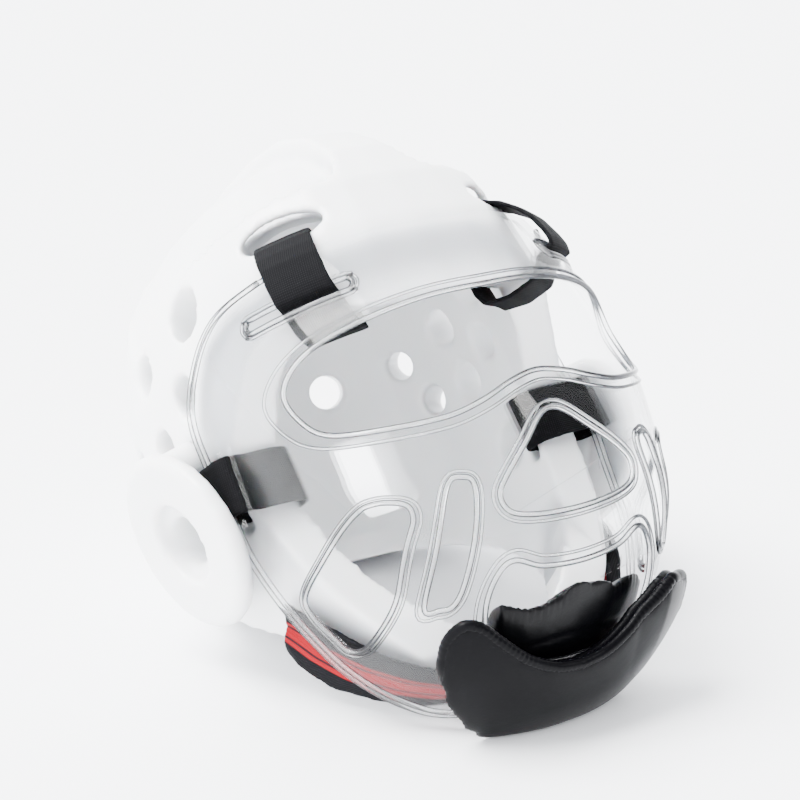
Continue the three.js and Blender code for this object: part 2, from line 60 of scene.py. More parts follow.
# Clear shield: size, sections and side outline as in the part
SHIELD_HALF_WIDTH = 104
SHIELD_REACH = 130
SHIELD_THICK = 2.4
SHIELD_SQUARENESS = 2.4
SHIELD_ROWS = [
    # level, width share, front share
    (-124, 0.17, 0.34),
    (-121, 0.33, 0.46),
    (-115, 0.48, 0.565),
    (-104, 0.61, 0.67),
    (-90, 0.73, 0.775),
    (-74, 0.827, 0.865),
    (-53, 0.913, 0.954),
    (-32, 0.962, 0.992),
    (-12, 0.99, 1),
    (7, 1, 1),
    (30, 1, 0.97),
    (54, 0.985, 0.904),
    (80, 0.94, 0.815),
    (105, 0.87, 0.712),
]
SHIELD_SIDE = [
    (-170, 98),
    (-93, 97),
    (-67, 91),
    (-41, 86),
    (-22, 72),
    (-9, 52),
    (-12, 25),
    (-17, 0),
    (-18, -20),
    (-25, -56),
    (-28, -80),
    (-33, -101),
    (-40, -112),
    (-54, -117),
    (-80, -118.5),
    (-170, -118.5),
]
EYE_HALF = [
    (0, 54),
    (30, 54),
    (60, 51.5),
    (80, 47),
    (89, 36),
    (88, 20),
    (82, 9),
    (66, 2),
    (46, -1.5),
    (30, 0.5),
    (14, 5.5),
    (0, 8),
]
NOSE_HALF = [
    (0, -10),
    (7, -12.5),
    (17, -21.5),
    (30, -33),
    (35, -40),
    (32, -47.5),
    (20, -51.5),
    (0, -53),
]
MOUTH_HALF = [
    (0, -74),
    (20, -72),
    (33, -66.5),
    (40, -69.5),
    (44.5, -79),
    (43, -91),
    (33, -101),
    (16, -107),
    (0, -108.5),
]
GILL = [(48, -28), (55, -32), (65.5, -68), (61, -74), (54, -70.5), (44.5, -36)]
CHEEK_HOLE = [
    (-103, -29),
    (-95, -25),
    (-86, -26),
    (-62, -37),
    (-42, -46),
    (-38.5, -53),
    (-40, -66),
    (-42, -74),
    (-54, -75),
    (-79, -64),
    (-100, -42),
    (-104.5, -34),
]

# Strap slots: a bar with round ends, in shares of its width and height
SLOT_BAR = [
    (-0.5, 0),
    (-0.47, 0.42),
    (-0.4, 0.5),
    (0.4, 0.5),
    (0.47, 0.42),
    (0.5, 0),
    (0.47, -0.42),
    (0.4, -0.5),
    (-0.4, -0.5),
    (-0.47, -0.42),
]
BROW_SLOT = {"bearing": 41, "reach": 108, "level": 72, "width": 52, "height": 5.8}
BROW_BEARING = math.radians(BROW_SLOT["bearing"])
CHEEK_SLOT = {"y": -29, "level": 13, "width": 9, "height": 40}
SLOT_CUT_HALF_DEPTH = 30

# Rolled rims on the shield: the edge bead, a thin ridge outside it, and a second line along the side
BEAD_RADIUS = 1.3
BEAD_OUT = 0.3
RIDGE_RADIUS = 0.8
RIDGE_OFFSETS = {"eye": 5, "nose": 3.2, "mouth": 4, "gill": 2.6, "cheek": 2.6}
RIM_INSET = 3.5
SIDE_STEPS = 6
SIDE_RIM_SPAN = slice(6, -8)

# Forehead straps: evened to the shield's slots at this reach, and sagging where they enter the foam
BROW_EVEN_REACH = 104
STRAP_DROP = 4
STRAP_DROP_FROM = 92
STRAP_DROP_OVER = 20

# Middle lines that the weave runs round, as reach and level, and as reach and y, with a radius
BROW_LOOP = {"reach": 88, "level": 86, "radius": 26}
CHEEK_LOOP = {"reach": 88, "y": -18, "radius": 20}

# Chin strap: its two edges as y and z, and how far the lower one flares out under the shield
STRAP_TOP = [
    (-13, -40),
    (-24, -52),
    (-33, -64),
    (-41, -80),
    (-50, -95),
    (-64, -103),
    (-80, -104),
    (-140, -104),
]
STRAP_BOTTOM = [(4, -60), (-6, -84), (-24, -103), (-46, -118), (-74, -124), (-140, -124)]
FLARE = 8
FLARE_SHARE = 0.5
FLARE_FRONT = {"from": -70, "over": 30}
FLARE_BACK = {"to": 12, "over": 14}

# Chin guard: upper lip as x and z, round end as y and z, thickness, gap to the shield
GUARD_LIP = [
    (0, -113.8),
    (13, -112),
    (25, -107),
    (33, -101.5),
    (41, -94.5),
    (47, -88.5),
    (51, -85.8),
]
GUARD_FRONT = GUARD_LIP + [(64, -80), (84, -100), (84, -150), (40, -160), (0, -160)]
GUARD_END = [
    (-103.5, -86),
    (-97, -85),
    (-90, -87.5),
    (-83, -92.5),
    (-70, -103),
    (-58.5, -115),
    (-50, -125),
    (-44, -136),
]
GUARD_SIDE = [(-190, -80), (-110, -84)] + GUARD_END + [(-42, -190), (-190, -190)]
GUARD_THICK = 11
GUARD_GAP = 0.35
GUARD_VOXEL = 1.6
GUARD_ROUNDS = 22
# How far the form that it is cut from goes on behind the shield's middle
SHIELD_TAIL = 30

# The guard sits a little towards the right, and its left end hangs lower
GUARD_SHIFT = -4
GUARD_DROP = 6
DROP_ACROSS = {"from": 28, "over": 16}
DROP_UP = {"from": -125, "over": 30}

# Lip: two rolled ridges, each by how far out and how far up, finely gathered and tapered at the ends
LIP_RIDGES = ((8.4, 0.5), (3.4, 2.2))
LIP_RADIUS = 2.6
LIP_TAPER = 9
LIP_TIP_SHARE = 0.2
LIP_END_POINTS = 5
GATHER_MM = 2.6
GATHER_SHARE = 0.06

# Pad: the solid's upper edge, and the dressed one with its dips, as x and z
PAD_TOP = [(0, -81), (16, -80), (32, -80), (44, -84)]
PAD_EDGE = [
    (-50, -72),
    (-42, -75),
    (-38.5, -77),
    (-35, -79.5),
    (-30, -82.5),
    (-23.1, -84.6),
    (-14.6, -85.2),
    (-7.5, -83),
    (-0.3, -81.1),
    (8.6, -81.5),
    (16.9, -83.1),
    (23.1, -85.2),
    (27.7, -84.1),
    (33.1, -83),
    (50, -83.5),
]
PAD_RIGHT_SHARE = 0.8
PAD_EDGE_REACH = 22

# Pad: pleats under its upper edge, deepest towards the right, and a seam groove below them
PLEAT_MM = 3.2
PLEAT_DEPTH = 0.5
PLEAT_REACH = 9
PLEAT_AT = -15
PLEAT_SPREAD = 12
PLEAT_ELSEWHERE = 0.3
PLEAT_LEAN = 0.25
SEAM_AT = 19
SEAM_DEPTH = 0.5
SEAM_HALF_WIDTH = 1.6

# How far from the middle a cutter reaches that has to pass right through
THROUGH = 300

# Floor, sky and lights
FLOOR_HALF = 6
SKY_BRIGHT = 6.5
SKY_DIM = 0.9
DIM_TOWARDS = (0.45, -0.6, 0.66)
DIM_FROM = 0.35
DIM_TO = 0.85
KEY_FROM = (-0.5, 0.25, 1)
KEY_STRENGTH = 13
KEY_SPREAD_DEG = 35
FRONT_LIGHT_AT = (0.9, -1.2, 1.3)
FRONT_LIGHT_TO = (0, -0.05, 0.1)
FRONT_LIGHT_SIZE = (0.2, 1.1)
FRONT_LIGHT_POWER = 14


# Curves and frames


def spline(points, per_span, closed=False):
    """Catmull-Rom curve through the points, as an array."""
    p = np.array(points, float)
    n = len(p)
    spans = n if closed else n - 1
    out = []
    for i in range(spans):
        if closed:
            a, b, c, d = p[(i - 1) % n], p[i], p[(i + 1) % n], p[(i + 2) % n]
        else:
            b, c = p[i], p[i + 1]
            a = p[i - 1] if i > 0 else 2 * b - c
            d = p[i + 2] if i + 2 < n else 2 * c - b
        for k in range(per_span):
            t = k / per_span
            square = (2 * a - 5 * b + 4 * c - d) * t**2
            cube = (3 * b - a - 3 * c + d) * t**3
            out.append(0.5 * (2 * b + (c - a) * t + square + cube))
    if not closed:
        out.append(p[-1])
    return np.array(out)


def mirrored(half):
    """A closed outline from the half on one side of the middle."""
    return list(half) + [(-x, z) for x, z in reversed(half[1:-1])]


def grown(outline, distance):
    """A closed outline moved outward by a distance."""
    p = np.asarray(outline, float)
    t = np.roll(p, -1, 0) - np.roll(p, 1, 0)
    t /= np.linalg.norm(t, axis=1)[:, None]
    area = 0.5 * np.sum(p[:, 0] * np.roll(p[:, 1], -1) - np.roll(p[:, 0], -1) * p[:, 1])
    n = np.stack([t[:, 1], -t[:, 0]], 1) * math.copysign(1, area)
    return p + n * distance


def distance_to(points, line):
    """Each point's distance to a line of straight spans."""
    best = np.full(len(points), np.inf)
    for a, b in zip(line[:-1], line[1:]):
        d = b - a
        t = np.clip(((points - a) @ d) / (d @ d), 0, 1)
        best = np.minimum(best, np.linalg.norm(points - (a + t[:, None] * d), axis=1))
    return best


def row_points(points):
    """Head frame millimetres to row frame metres."""
    p = np.asarray(points, float) * MM
    return p @ TO_ROW[:3, :3].T + TO_ROW[:3, 3]


def head_points(points):
    """Row frame metres to head frame millimetres."""
    p = np.asarray(points, float)
    return (p @ TO_HEAD[:3, :3].T + TO_HEAD[:3, 3]) / MM


# Meshes


def coords(obj):
    co = np.empty(len(obj.data.vertices) * 3)
    obj.data.vertices.foreach_get("co", co)
    return co.reshape(-1, 3)


def set_coords(obj, co):
    obj.data.vertices.foreach_set("co", np.asarray(co, float).ravel())
    obj.data.update()


def new_mesh(name, verts, faces):
    mesh = bpy.data.meshes.new(name)
    mesh.from_pydata([tuple(v) for v in verts], [], [tuple(f) for f in faces])
    mesh.update()
    obj = bpy.data.objects.new(name, mesh)
    bpy.context.scene.collection.objects.link(obj)
    return obj


def apply_modifiers(obj):
    graph = bpy.context.evaluated_depsgraph_get()
    graph.update()
    made = bpy.data.meshes.new_from_object(obj.evaluated_get(graph))
    old = obj.data
    obj.modifiers.clear()
    obj.data = made
    bpy.data.meshes.remove(old)


def shade(obj, angle_deg=None):
    obj.data.polygons.foreach_set("use_smooth", [True] * len(obj.data.polygons))
    if angle_deg is not None:
        obj.data.set_sharp_from_angle(angle=math.radians(angle_deg))
    obj.data.update()


def even_mesh(obj, voxel_mm, rounds):
    """Remeshes evenly, then rounds the corners and facets."""
    remesh = obj.modifiers.new("even", "REMESH")
    remesh.mode = "VOXEL"
    remesh.voxel_size = voxel_mm * MM
    ease = obj.modifiers.new("ease", "SMOOTH")
    ease.factor = 0.5
    ease.iterations = rounds
    apply_modifiers(obj)
    shade(obj)


def soft_copy(node, name, voxel_mm, rounds):
    """A CAD node's solid as an even, rounded mesh."""
    obj = bpy.data.objects.new(name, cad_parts[node].data.copy())
    obj.data.materials.clear()
    bpy.context.scene.collection.objects.link(obj)
    even_mesh(obj, voxel_mm, rounds)
    return obj


def ring_faces(rings, n):
    """Faces between rings of n points, each ring closed."""
    return [
        (i * n + j, i * n + (j + 1) % n, (i + 1) * n + (j + 1) % n, (i + 1) * n + j)
        for i in range(rings - 1)
        for j in range(n)
    ]


def caps(rings, n):
    """The faces that close the first ring and the last."""
    return [tuple(range(n))[::-1], tuple(range((rings - 1) * n, rings * n))]


def prism(name, outline, place):
    """A closed solid between two copies of an outline; place(point, side) gives each corner."""
    n = len(outline)
    verts = [place(p, 0) for p in outline] + [place(p, 1) for p in outline]
    obj = new_mesh(name, row_points(verts), caps(2, n) + ring_faces(2, n))
    bm = bmesh.new()
    bm.from_mesh(obj.data)
    bmesh.ops.recalc_face_normals(bm, faces=bm.faces)
    bm.to_mesh(obj.data)
    bm.free()
    return obj


def from_the_front(name, outline):
    """A cutter from the middle forward, over an outline in x and z."""
    return prism(name, outline, lambda p, s: (p[0], -THROUGH * s, p[1]))


def from_the_side(name, outline):
    """A cutter right across, over an outline in y and z."""
    return prism(name, outline, lambda p, s: ((2 * s - 1) * THROUGH, p[0], p[1]))


def cut(obj, tool, operation="DIFFERENCE"):
    change = obj.modifiers.new("cut", "BOOLEAN")
    change.operation = operation
    change.object = tool
    change.solver = "EXACT"
    apply_modifiers(obj)
    bpy.data.objects.remove(tool)


def tubes(name, paths, sides=10):
    """One mesh of tubes: each path is points in head millimetres, a radius or one a point, closed."""
    verts, faces = [], []
    for points, radius, closed in paths:
        p = np.asarray(points, float)
        n = len(p)
        if closed:
            tangent = np.roll(p, -1, 0) - np.roll(p, 1, 0)
        else:
            tangent = np.gradient(p, axis=0)
        tangent /= np.linalg.norm(tangent, axis=1)[:, None]
        normal = np.cross(tangent, np.cross(p / np.linalg.norm(p, axis=1)[:, None], tangent))
        normal /= np.linalg.norm(normal, axis=1)[:, None]
        other = np.cross(tangent, normal)
        start = len(verts)
        width = np.broadcast_to(radius, n)
        for i in range(n):
            for k in range(sides):
                a = 2 * math.pi * k / sides
                verts.append(p[i] + width[i] * (math.cos(a) * normal[i] + math.sin(a) * other[i]))
        for i in range(n if closed else n - 1):
            for k in range(sides):
                a = start + i * sides
                b = start + ((i + 1) % n) * sides
                faces.append((a + k, a + (k + 1) % sides, b + (k + 1) % sides, b + k))
        if not closed:
            faces += [tuple(start + v for v in cap) for cap in caps(n, sides)]
    obj = new_mesh(name, row_points(verts), faces)
    shade(obj)
    return obj


def weave_map(obj, across, along):
    """The map that webbing and elastic are woven on."""
    uv = obj.data.uv_layers.new(name="weave")
    loops = np.empty(len(obj.data.loops), int)
    obj.data.loops.foreach_get("vertex_index", loops)
    data = np.stack([across[loops], along[loops]], 1)
    uv.data.foreach_set("uv", data.ravel())


# Materials


def tree_of(name, settings):
    """A new material, its nodes and links, and its shader with these settings."""
    mat = bpy.data.materials.new(name)
    mat.use_nodes = True
    nodes, links = mat.node_tree.nodes, mat.node_tree.links
    shader = nodes["Principled BSDF"]
    for socket, value in settings.items():
        shader.inputs[socket].default_value = value
    return mat, nodes, links, shader


def noise(nodes, links, scale, detail=2):
    where = nodes.new("ShaderNodeTexCoord")
    texture = nodes.new("ShaderNodeTexNoise")
    texture.inputs["Scale"].default_value = scale
    texture.inputs["Detail"].default_value = detail
    links.new(where.outputs["Object"], texture.inputs["Vector"])
    return texture.outputs["Fac"]


def weave_wave(nodes, links, direction, scale, distortion=0):
    where = nodes.new("ShaderNodeUVMap")
    where.uv_map = "weave"
    wave = nodes.new("ShaderNodeTexWave")
    wave.bands_direction = direction
    wave.inputs["Scale"].default_value = scale
    wave.inputs["Distortion"].default_value = distortion
    links.new(where.outputs["UV"], wave.inputs["Vector"])
    return wave.outputs["Fac"]


def colours(nodes, links, source, stops, interpolation="LINEAR"):
    """A colour ramp over a source; the stops are places and colours."""
    ramp = nodes.new("ShaderNodeValToRGB")
    line = ramp.color_ramp
    line.interpolation = interpolation
    while len(line.elements) < len(stops):
        line.elements.new(0.5)
    for element, (at, _) in zip(line.elements, stops):
        element.position = at
    for element, (_, colour) in zip(line.elements, stops):
        element.color = (*colour, 1)
    links.new(source, ramp.inputs["Fac"])
    return ramp.outputs["Color"]


def bump(nodes, links, shader, height, strength, distance):
    relief = nodes.new("ShaderNodeBump")
    relief.inputs["Strength"].default_value = strength
    relief.inputs["Distance"].default_value = distance
    links.new(height, relief.inputs["Height"])
    links.new(relief.outputs["Normal"], shader.inputs["Normal"])


def foam_material():
    """White dipped foam: a soft skin, a fine grain, and painted shade that greys its hollows and
    creases through an ambient occlusion node.
    """
    settings = {
        "Roughness": 0.36,
        "Subsurface Weight": 0.12,
        "Subsurface Scale": 0.004,
        "Coat Weight": 0.15,
        "Coat Roughness": 0.25,
    }
    mat, nodes, links, shader = tree_of("dipped_foam", settings)
    tones = [(0, (0.80, 0.81, 0.82)), (1, (0.88, 0.88, 0.88))]
    tone = colours(nodes, links, noise(nodes, links, scale=14, detail=3), tones)
    # Painted shade: ambient occlusion greys the base colour in hollows, recesses and creases
    hollow_occlusion = nodes.new("ShaderNodeAmbientOcclusion")
    hollow_occlusion.inputs["Distance"].default_value = 0.016
    hollow_occlusion.samples = 8
    painted_shade_greys = [(0.25, (0.42, 0.43, 0.45)), (0.85, (1, 1, 1))]
    painted_hollow_shade = colours(nodes, links, hollow_occlusion.outputs["AO"], painted_shade_greys)
    shade_multiply = nodes.new("ShaderNodeMix")
    shade_multiply.data_type = "RGBA"
    shade_multiply.blend_type = "MULTIPLY"
    shade_multiply.inputs["Factor"].default_value = 1
    links.new(tone, shade_multiply.inputs["A"])
    links.new(painted_hollow_shade, shade_multiply.inputs["B"])
    links.new(shade_multiply.outputs["Result"], shader.inputs["Base Color"])
    grain = noise(nodes, links, scale=900)
    bump(nodes, links, shader, grain, strength=0.06, distance=0.0006)
    return mat


def clear_material():
    """Polycarbonate sheet. Its low index keeps what lies behind it in place; the coat reflects."""
    settings = {
        "Base Color": (0.97, 0.985, 1, 1),
        "Transmission Weight": 1,
        "IOR": 1.02,
        "Alpha": 0.4,
        "Coat Weight": 1,
        "Coat Roughness": 0.03,
    }
    mat, nodes, links, shader = tree_of("clear_polycarbonate", settings)
    haze = nodes.new("ShaderNodeMapRange")
    haze.inputs["To Min"].default_value = 0.01
    haze.inputs["To Max"].default_value = 0.05
    links.new(noise(nodes, links, scale=30), haze.inputs["Value"])
    links.new(haze.outputs["Result"], shader.inputs["Roughness"])
    return mat


def rim_material():
    """Clear plastic rolled thick, its colour painted by how it faces the view: a painted highlight
    down its middle, with a painted dark line of shade along each side.
    """
    settings = {
        "Transmission Weight": 0.9,
        "IOR": 1.2,
        "Roughness": 0.04,
        "Alpha": 0.96,
        "Specular IOR Level": 0.3,
    }
    mat, nodes, links, shader = tree_of("clear_rim", settings)
    # Painted highlight and painted shade: base colour white where the rim faces the view, dark
    # towards its sides, lighter again at grazing
    edge = nodes.new("ShaderNodeLayerWeight")
    edge.inputs["Blend"].default_value = 0.5
    dark = (0.02, 0.022, 0.026)
    painted_rim_light = [(0.18, (1, 1, 1)), (0.34, dark), (0.84, dark), (0.97, (0.8, 0.82, 0.85))]
    links.new(colours(nodes, links, edge.outputs["Facing"], painted_rim_light), shader.inputs["Base Color"])
    return mat


def webbing_material():
    settings = {"Roughness": 0.75, "Specular IOR Level": 0.03}
    mat, nodes, links, shader = tree_of("black_webbing", settings)
    both = nodes.new("ShaderNodeMath")
    both.operation = "MULTIPLY"
    for socket, direction in zip(both.inputs, "XY"):
        links.new(weave_wave(nodes, links, direction, scale=0.32), socket)
    weave = both.outputs["Value"]
    threads = [(0, (0.002, 0.002, 0.0024)), (1, (0.010, 0.010, 0.011))]
    links.new(colours(nodes, links, weave, threads), shader.inputs["Base Color"])
    bump(nodes, links, shader, weave, strength=0.5, distance=0.0004)
    return mat


def guard_material(name, roughness, specular, grain_strength):
    """Black moulded skin with a fine grain of a given strength."""
    settings = {"Roughness": roughness, "Specular IOR Level": specular}
    mat, nodes, links, shader = tree_of(name, settings)
    tones = [(0, (0.0006, 0.0006, 0.0009)), (1, (0.0014, 0.0014, 0.002))]
    tone = colours(nodes, links, noise(nodes, links, scale=40), tones)
    links.new(tone, shader.inputs["Base Color"])
    grain = noise(nodes, links, scale=700, detail=4)
    bump(nodes, links, shader, grain, grain_strength, distance=0.0005)
    return mat


def elastic_material():
    """Ribbed elastic, striped from its lower edge to its upper one."""
    settings = {"Roughness": 0.8, "Specular IOR Level": 0.1}
    mat, nodes, links, shader = tree_of("striped_elastic", settings)
    black = (0.003, 0.003, 0.004)
    dark = (0.006, 0.006, 0.008)
    red = (0.22, 0.003, 0.008)
    stripes = [
        (0, black),
        (0.25, red),
        (0.32, dark),
        (0.35, red),
        (0.5, dark),
        (0.54, red),
        (0.6, black),
        (1, black),
    ]
    where = nodes.new("ShaderNodeUVMap")
    where.uv_map = "weave"
    parts = nodes.new("ShaderNodeSeparateXYZ")
    links.new(where.outputs["UV"], parts.inputs["Vector"])
    striped = colours(nodes, links, parts.outputs["Y"], stripes, "CONSTANT")
    links.new(striped, shader.inputs["Base Color"])
    ribs = weave_wave(nodes, links, "X", scale=22, distortion=1.5)
    bump(nodes, links, shader, ribs, strength=0.5, distance=0.0004)
    return mat


FOAM = foam_material()
CLEAR = clear_material()
RIM = rim_material()
WEBBING = webbing_material()
GUARD = guard_material("guard_skin", roughness=0.3, specular=0.05, grain_strength=0.08)
PAD = guard_material("pad_cover", roughness=0.34, specular=0.1, grain_strength=0.25)
ELASTIC = elastic_material()


def piece(obj, material, slot, *nodes):
    """Dresses an object in one material, hangs it from the root body, and hides the part's nodes that
    it stands for.
    """
    obj.data.materials.clear()
    obj.data.materials.append(material)
    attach(obj, "root")
    if nodes:
        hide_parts(*nodes)


# Foam shell and ear guards


def build_foam():
    foam = soft_copy("helmet_shell", "foam_shell", voxel_mm=2.0, rounds=6)
    piece(foam, FOAM, "foam_white", "helmet_shell")
    for side in ("left", "right"):
        ear = soft_copy("ear_guard_" + side, "ear_pad_" + side, voxel_mm=1.8, rounds=8)
        piece(ear, FOAM, "foam_white", "ear_guard_" + side)


# The shield's surface

SHIELD_CURVE = spline(SHIELD_ROWS, 8)


def shield_row(level):
    """Half width and front of the shield at a level."""
    width = np.interp(level, SHIELD_CURVE[:, 0], SHIELD_CURVE[:, 1]) * SHIELD_HALF_WIDTH
    front = np.interp(level, SHIELD_CURVE[:, 0], SHIELD_CURVE[:, 2]) * SHIELD_REACH
    return width, front


def grown_rows(grow):
    """The shield's levels, half widths and fronts, moved outward by a distance."""
    level, width, front = (spline(SHIELD_ROWS, 3) * (1, SHIELD_HALF_WIDTH, SHIELD_REACH)).T
    rise = np.gradient(level)
    lean = (np.gradient(width) + np.gradient(front)) / 2
    length = np.hypot(rise, lean)
    out, down = grow * rise / length, grow * lean / length
    return level - down, width + out, front + out


def other_share(share):
    """Share of one half axis of a section from the share of the other."""
    return (1 - share**SHIELD_SQUARENESS) ** (1 / SHIELD_SQUARENESS)


def on_front(x, z):
    """The shield's outer surface over a point of the front view."""
    width, front = shield_row(z)
    return (x, -front * other_share(min(abs(x) / width, 1)), z)


def on_side(y, z, sign):
    """The shield's outer surface over a point of the side view."""
    width, front = shield_row(z)
    return (sign * width * other_share(min(abs(y) / front, 1)), y, z)


def along_brow(reach, across):
    """Out and forward of a point on the forehead slots' bearing."""
    x = reach * math.sin(BROW_BEARING) + across * math.cos(BROW_BEARING)
    y = -reach * math.cos(BROW_BEARING) + across * math.sin(BROW_BEARING)
    return x, y


def on_brow(across, level, sign):
    """The shield's outer surface along the forehead slots' bearing, found by halving."""
    width, front = shield_row(level)
    near, far = 40, 160
    for _ in range(24):
        reach = (near + far) / 2
        x, y = along_brow(reach, across)
        outside = (abs(x) / width) ** SHIELD_SQUARENESS + (abs(y) / front) ** SHIELD_SQUARENESS > 1
        near, far = (near, reach) if outside else (reach, far)
    return (sign * x, y, level)


def brow_cutter(point, side, sign):
    """A corner of the cutter through a forehead slot; side is 0 inside and 1 outside."""
    reach = BROW_SLOT["reach"] + (2 * side - 1) * SLOT_CUT_HALF_DEPTH
    x, y = along_brow(reach, point[0] * BROW_SLOT["width"])
    return (sign * x, y, BROW_SLOT["level"] + point[1] * BROW_SLOT["height"])


def cheek_cutter(point, side, sign):
    """A corner of the cutter through a cheek slot."""
    x = sign * (SHIELD_HALF_WIDTH + SLOT_CUT_HALF_DEPTH * (2 * side - 1))
    y = CHEEK_SLOT["y"] + point[1] * CHEEK_SLOT["width"]
    return (x, y, CHEEK_SLOT["level"] + point[0] * CHEEK_SLOT["height"])


# Openings as outlines, eased

GILL_OUTLINE = spline(GILL, 8, closed=True)
FRONT_HOLES = {
    "eye": spline(mirrored(EYE_HALF), 6, closed=True),
    "nose": spline(mirrored(NOSE_HALF), 6, closed=True),
    "mouth": spline(mirrored(MOUTH_HALF), 6, closed=True),
    "gill": GILL_OUTLINE,
    "gill_right": GILL_OUTLINE * np.array([-1, 1]),
}
CHEEK_OUTLINE = spline(CHEEK_HOLE, 6, closed=True)
SLOT_OUTLINE = spline(SLOT_BAR, 4, closed=True)
SIDE_EDGE = spline(SHIELD_SIDE[1:-1], SIDE_STEPS)


# Clear sheet


def curved_sheet():
    """The shield's whole front as one sheet, before anything is cut."""
    curve = spline(SHIELD_ROWS, 5)
    columns = 128
    power = 2 / SHIELD_SQUARENESS
    verts = []
    for level, width, front in curve:
        for j in range(columns + 1):
            turn = math.pi + math.pi * j / columns
            across, along = math.cos(turn), -math.sin(turn)
            x = width * SHIELD_HALF_WIDTH * math.copysign(abs(across) ** power, across)
            verts.append((x, -front * SHIELD_REACH * max(along, 0) ** power, level))
    stride = columns + 1
    faces = [
        (i * stride + j, i * stride + j + 1, (i + 1) * stride + j + 1, (i + 1) * stride + j)
        for i in range(len(curve) - 1)
        for j in range(columns)
    ]
    sheet = new_mesh("shield_sheet", row_points(verts), faces)
    wall = sheet.modifiers.new("wall", "SOLIDIFY")
    wall.thickness = SHIELD_THICK * MM
    wall.offset = -1
    apply_modifiers(sheet)
    return sheet


def build_sheet():
    sheet = curved_sheet()
    keep = [SHIELD_SIDE[0]] + [tuple(p) for p in SIDE_EDGE] + [SHIELD_SIDE[-1]]
    cut(sheet, from_the_side("keep", keep), "INTERSECT")
    for outline in FRONT_HOLES.values():
        cut(sheet, from_the_front("hole", outline))
    cut(sheet, from_the_side("hole", CHEEK_OUTLINE))
    for sign in (-1, 1):
        cut(sheet, prism("slot", SLOT_OUTLINE, lambda p, s: brow_cutter(p, s, sign)))
        cut(sheet, prism("slot", SLOT_OUTLINE, lambda p, s: cheek_cutter(p, s, sign)))
    shade(sheet, angle_deg=35)
    piece(sheet, CLEAR, "shield_clear", "face_shield")


# Rolled rims


def rim_pair(place, outline, offset):
    """The edge bead and the ridge outside it, round one opening."""
    pair = ((BEAD_OUT, BEAD_RADIUS), (offset, RIDGE_RADIUS))
    return [([place(p) for p in grown(outline, d)], radius, True) for d, radius in pair]


def build_rims():
    rims = []
    for name, outline in FRONT_HOLES.items():
        offset = RIDGE_OFFSETS[name.split("_")[0]]
        rims += rim_pair(lambda p: on_front(*p), outline, offset)
    slot_size = np.array([BROW_SLOT["width"], BROW_SLOT["height"]])
    slot_rim = SLOT_OUTLINE * slot_size + (0, BROW_SLOT["level"])
    for sign in (-1, 1):
        rims += rim_pair(lambda p: on_side(*p, sign), CHEEK_OUTLINE, RIDGE_OFFSETS["cheek"])
        rims += rim_pair(lambda p: on_brow(*p, sign), slot_rim, RIDGE_OFFSETS["gill"])
        for line in (SIDE_EDGE, SIDE_EDGE + (-RIM_INSET, 0)):
            path = [on_side(*p, sign) for p in line[SIDE_RIM_SPAN]]
            rims.append((path, BEAD_RADIUS, False))
    piece(tubes("shield_rims", rims), RIM, "shield_clear")


# Straps


def build_brow_strap(side, sign):
    strap = soft_copy("forehead_strap_" + side, "brow_strap_" + side, voxel_mm=0.9, rounds=10)
    p = head_points(coords(strap))
    reach = np.hypot(p[:, 0], p[:, 1])
    off = np.arctan2(sign * p[:, 0], -p[:, 1]) - BROW_BEARING
    even = BROW_BEARING + off * BROW_EVEN_REACH / reach
    p[:, 0], p[:, 1] = sign * reach * np.sin(even), -reach * np.cos(even)
    p[:, 2] -= STRAP_DROP * np.clip((p[:, 2] - STRAP_DROP_FROM) / STRAP_DROP_OVER, 0, 1)
    set_coords(strap, row_points(p))
    across = sign * p[:, 0] * math.cos(BROW_BEARING) + p[:, 1] * math.sin(BROW_BEARING)
    radius = np.hypot(p[:, 0], p[:, 1])
    turn = np.arctan2(p[:, 2] - BROW_LOOP["level"], radius - BROW_LOOP["reach"])
    weave_map(strap, across, turn * BROW_LOOP["radius"])
    piece(strap, WEBBING, "strap_webbing", "forehead_strap_" + side)


def build_cheek_strap(side):
    strap = soft_copy("cheek_strap_" + side, "cheek_band_" + side, voxel_mm=0.9, rounds=10)
    p = head_points(coords(strap))
    turn = np.arctan2(p[:, 1] - CHEEK_LOOP["y"], np.abs(p[:, 0]) - CHEEK_LOOP["reach"])
    weave_map(strap, p[:, 2], turn * CHEEK_LOOP["radius"])
    piece(strap, WEBBING, "strap_webbing", "cheek_strap_" + side)


def build_chin_strap():
    elastic = soft_copy("chin_strap", "chin_elastic", voxel_mm=1.0, rounds=6)
    p = head_points(coords(elastic))
    top = distance_to(p[:, 1:], spline(STRAP_TOP, 4))
    bottom = distance_to(p[:, 1:], spline(STRAP_BOTTOM, 4))
    rise = bottom / (top + bottom)
    weave_map(elastic, (p[:, 1] - np.abs(p[:, 0])) / 100, rise)
    low = np.clip(1 - rise / FLARE_SHARE, 0, 1)
    front = np.clip((p[:, 1] - FLARE_FRONT["from"]) / FLARE_FRONT["over"], 0, 1)
    back = np.clip((FLARE_BACK["to"] - p[:, 1]) / FLARE_BACK["over"], 0, 1)
    p[:, 0] += np.sign(p[:, 0]) * FLARE * low * front * back
    set_coords(elastic, row_points(p))
    piece(elastic, ELASTIC, "elastic_striped", "chin_strap")


# Chin guard


